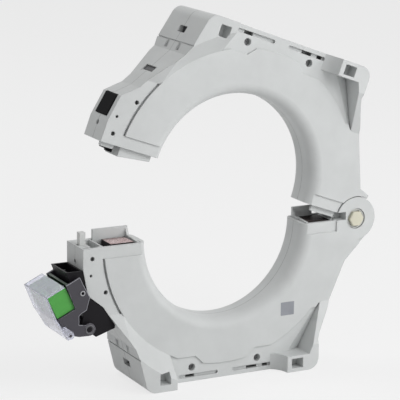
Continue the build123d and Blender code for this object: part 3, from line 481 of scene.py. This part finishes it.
# Ribs between the poles on the outer face of the green plug
rib_pitch = 0.00508
rib_count = 5
rib_length, rib_width, rib_height = 0.0150, 0.0007, 0.0006
rib_mesh = lying_strips("plug_ribs", finishes["plug_green"], rib_length, rib_width, rib_height, rib_pitch, rib_count)
rib_turn = Matrix((
    (0.0, 0.0, -1.0, -0.0163),
    (0.0, 1.0, 0.0, -0.0268),
    (1.0, 0.0, 0.0, -rib_pitch * (rib_count - 1) / 2),
    (0.0, 0.0, 0.0, 1.0),
))
joined_piece("plug_ribs", "terminal_carrier", "plug_green", [(rib_mesh, holder_place @ rib_turn)])


def rounded_block(low, high, radius):
    """Block between two corners with rounded edges."""
    block = bmesh.new()
    bmesh.ops.create_cube(block, size=1.0)
    middle = [(a + b) / 2 for a, b in zip(low, high)]
    spans = [b - a for a, b in zip(low, high)]
    block.transform(Matrix.Translation(middle) @ Matrix.Diagonal((*spans, 1.0)))
    bmesh.ops.bevel(block, geom=block.edges[:], offset=radius, segments=3, profile=0.5, affect="EDGES")
    mesh = bpy.data.meshes.new("rounded_block")
    block.to_mesh(mesh)
    block.free()
    for face in mesh.polygons:
        face.use_smooth = True
    return mesh


# Foot of the black hook that shows under the pale tab, and the dark rim beside the tab
toe = rounded_block((-0.0983, -0.0086, -0.0052), (-0.0940, -0.0042, -0.00015), 0.0007)
joined_piece("hook_toe", "latch", "button_black", [(toe, lift)])
tab_rim = rounded_block((-0.1043, -0.0104, -0.0033), (-0.0952, -0.0088, -0.0028), 0.0001)
joined_piece("tab_rim", "upper_half", "button_black", [(tab_rim, lift)])


def prism(outline, half_width):
    """Block with this outline in x and z, as wide on both sides of the middle."""
    block = bmesh.new()
    ends = [[block.verts.new((x, y, z)) for x, z in outline] for y in (-half_width, half_width)]
    for end in ends:
        block.faces.new(end)
    for i in range(len(outline)):
        j = (i + 1) % len(outline)
        block.faces.new((ends[0][i], ends[0][j], ends[1][j], ends[1][i]))
    mesh = bpy.data.meshes.new("prism")
    block.to_mesh(mesh)
    block.free()
    return mesh


# Dark plates at the bottom of the openings on the latch side of both halves: painted shade standing in for the depth
# of the openings
behind_window = prism(((-0.0652, 0.0842), (-0.0642, 0.0842), (-0.0642, 0.0886), (-0.0652, 0.0886)), 0.0049)
behind_slot = prism(((-0.07981, 0.05516), (-0.08289, 0.05312), (-0.08067, 0.05646)), 0.0074)
upside_down = Matrix.Diagonal((1.0, 1.0, -1.0, 1.0))
for name, body, place in (("lower_opening_shade", "lower_half", upside_down), ("upper_opening_shade", "upper_half", lift)):
    joined_piece(name, body, "former_black", [(behind_window, place), (behind_slot, place)])

# Plain printed square on the lower front pad
ink = moulded_plastic(
    "pad_print", (0.28, 0.292, 0.32), (0.36, 0.37, 0.40), 0.5, 0.0007, 0.00002, edge=0.00002, mottle=0.12
)
print_middle = (0.0486, -0.01432, -0.0591)
print_width, print_thick, print_height = 0.0106, 0.00006, 0.0096
print_corner = 0.0004
square = bmesh.new()
bmesh.ops.create_cube(square, size=1.0)
square.transform(Matrix.Translation(print_middle) @ Matrix.Diagonal((print_width, print_thick, print_height, 1.0)))
corners = [edge for edge in square.edges if abs(edge.verts[0].co.y - edge.verts[1].co.y) > print_thick / 2]
bmesh.ops.bevel(square, geom=corners, offset=print_corner, segments=3, profile=0.5, affect="EDGES")
square_mesh = bpy.data.meshes.new("pad_square")
square.to_mesh(square_mesh)
square.free()
joined_piece("pad_square", "lower_half", "shell_grey", [(square_mesh, Matrix.Identity(4))], ink)

# Camera of the photograph: the lens and stand worked out from the two rings
frame_pixels = 400
focal_pixels = 1925.85
stand_off = 1.29272
turn, tip, roll = radians(27.52), radians(13.30), radians(0.73)
aim = Vector((-0.02132, -0.0145, 0.02553))
look = Vector((sin(turn) * cos(tip), cos(turn) * cos(tip), -sin(tip)))
level = Vector((cos(turn), -sin(turn), 0.0))
upright = level.cross(look)
across = level * cos(roll) + upright * sin(roll)
upwards = upright * cos(roll) - level * sin(roll)
lens = bpy.data.cameras.new("photo_camera")
lens.sensor_width = 36.0
lens.lens = focal_pixels / frame_pixels * lens.sensor_width
camera = bpy.data.objects.new("photo_camera", lens)
bpy.context.scene.collection.objects.link(camera)
eye = aim - look * stand_off
camera.matrix_world = Matrix((
    (across.x, upwards.x, -look.x, eye.x),
    (across.y, upwards.y, -look.y, eye.y),
    (across.z, upwards.z, -look.z, eye.z),
    (0.0, 0.0, 0.0, 1.0),
))
bpy.context.scene.camera = camera


def seen_directly(tree):
    """1 for what the camera sees itself, in a reflection or through the clear cover, and 0 for light on the part."""
    path = tree.nodes.new("ShaderNodeLightPath")
    seen = path.outputs["Is Camera Ray"]
    for ray in ("Is Glossy Ray", "Is Transmission Ray"):
        either = tree.nodes.new("ShaderNodeMath")
        either.operation = "MAXIMUM"
        tree.links.new(seen, either.inputs[0])
        tree.links.new(path.outputs[ray], either.inputs[1])
        seen = either.outputs["Value"]
    return seen


# Floor and backdrop in one white, on a surface that keeps the part's shadow
backdrop_white = (0.93, 0.93, 0.93, 1.0)
floor_mesh = bpy.data.meshes.new("floor")
floor_reach = 3.0
base_z = -0.102
floor_corners = [(x * floor_reach, y * floor_reach, base_z) for x, y in ((-1, -1), (1, -1), (1, 1), (-1, 1))]
floor_mesh.from_pydata(floor_corners, [], [(0, 1, 2, 3)])
floor = bpy.data.objects.new("floor", floor_mesh)
bpy.context.scene.collection.objects.link(floor)
paper, tree, shader, place = new_material("floor_paper")
shader.inputs["Base Color"].default_value = (0.86, 0.86, 0.86, 1.0)
shader.inputs["Roughness"].default_value = 0.9
shade = tree.nodes.new("ShaderNodeEmission")
shade.inputs["Color"].default_value = backdrop_white
share = tree.nodes.new("ShaderNodeMath")
share.operation = "MULTIPLY"
share.inputs[1].default_value = 0.8
tree.links.new(seen_directly(tree), share.inputs[0])
surface = tree.nodes.new("ShaderNodeMixShader")
tree.links.new(share.outputs["Value"], surface.inputs["Fac"])
tree.links.new(shader.outputs["BSDF"], surface.inputs[1])
tree.links.new(shade.outputs["Emission"], surface.inputs[2])
output = next(node for node in tree.nodes if node.type == "OUTPUT_MATERIAL")
tree.links.new(surface.outputs["Shader"], output.inputs["Surface"])
floor_mesh.materials.append(paper)

world = bpy.data.worlds.new("studio")
world.use_nodes = True
sky = world.node_tree
sky.nodes.clear()
background = sky.nodes.new("ShaderNodeBackground")
background.inputs["Color"].default_value = (1.0, 1.0, 1.0, 1.0)
background.inputs["Strength"].default_value = 0.34
white = sky.nodes.new("ShaderNodeBackground")
white.inputs["Color"].default_value = backdrop_white
white.inputs["Strength"].default_value = 1.0
choice = sky.nodes.new("ShaderNodeMixShader")
sky.links.new(seen_directly(sky), choice.inputs["Fac"])
sky.links.new(background.outputs["Background"], choice.inputs[1])
sky.links.new(white.outputs["Background"], choice.inputs[2])
world_out = sky.nodes.new("ShaderNodeOutputWorld")
sky.links.new(choice.outputs["Shader"], world_out.inputs["Surface"])
bpy.context.scene.world = world


def softbox(name, spot, size, power):
    """A square area lamp that faces the part."""
    lamp = bpy.data.lights.new(name, "AREA")
    lamp.size = size
    lamp.energy = power
    stand = bpy.data.objects.new(name, lamp)
    bpy.context.scene.collection.objects.link(stand)
    stand.location = spot
    stand.rotation_euler = (-Vector(spot)).to_track_quat("-Z", "Y").to_euler()


softbox("key_light", (0.40, -1.0, 0.85), 0.8, 5.9)
softbox("side_light", (-0.9, -0.55, 0.85), 0.7, 0.7)
softbox("fill_light", (0.85, -0.7, 0.35), 0.8, 5.3)
softbox("back_light", (-0.35, 0.9, 1.2), 0.7, 4.6)
bpy.context.scene.view_settings.view_transform = "Standard"
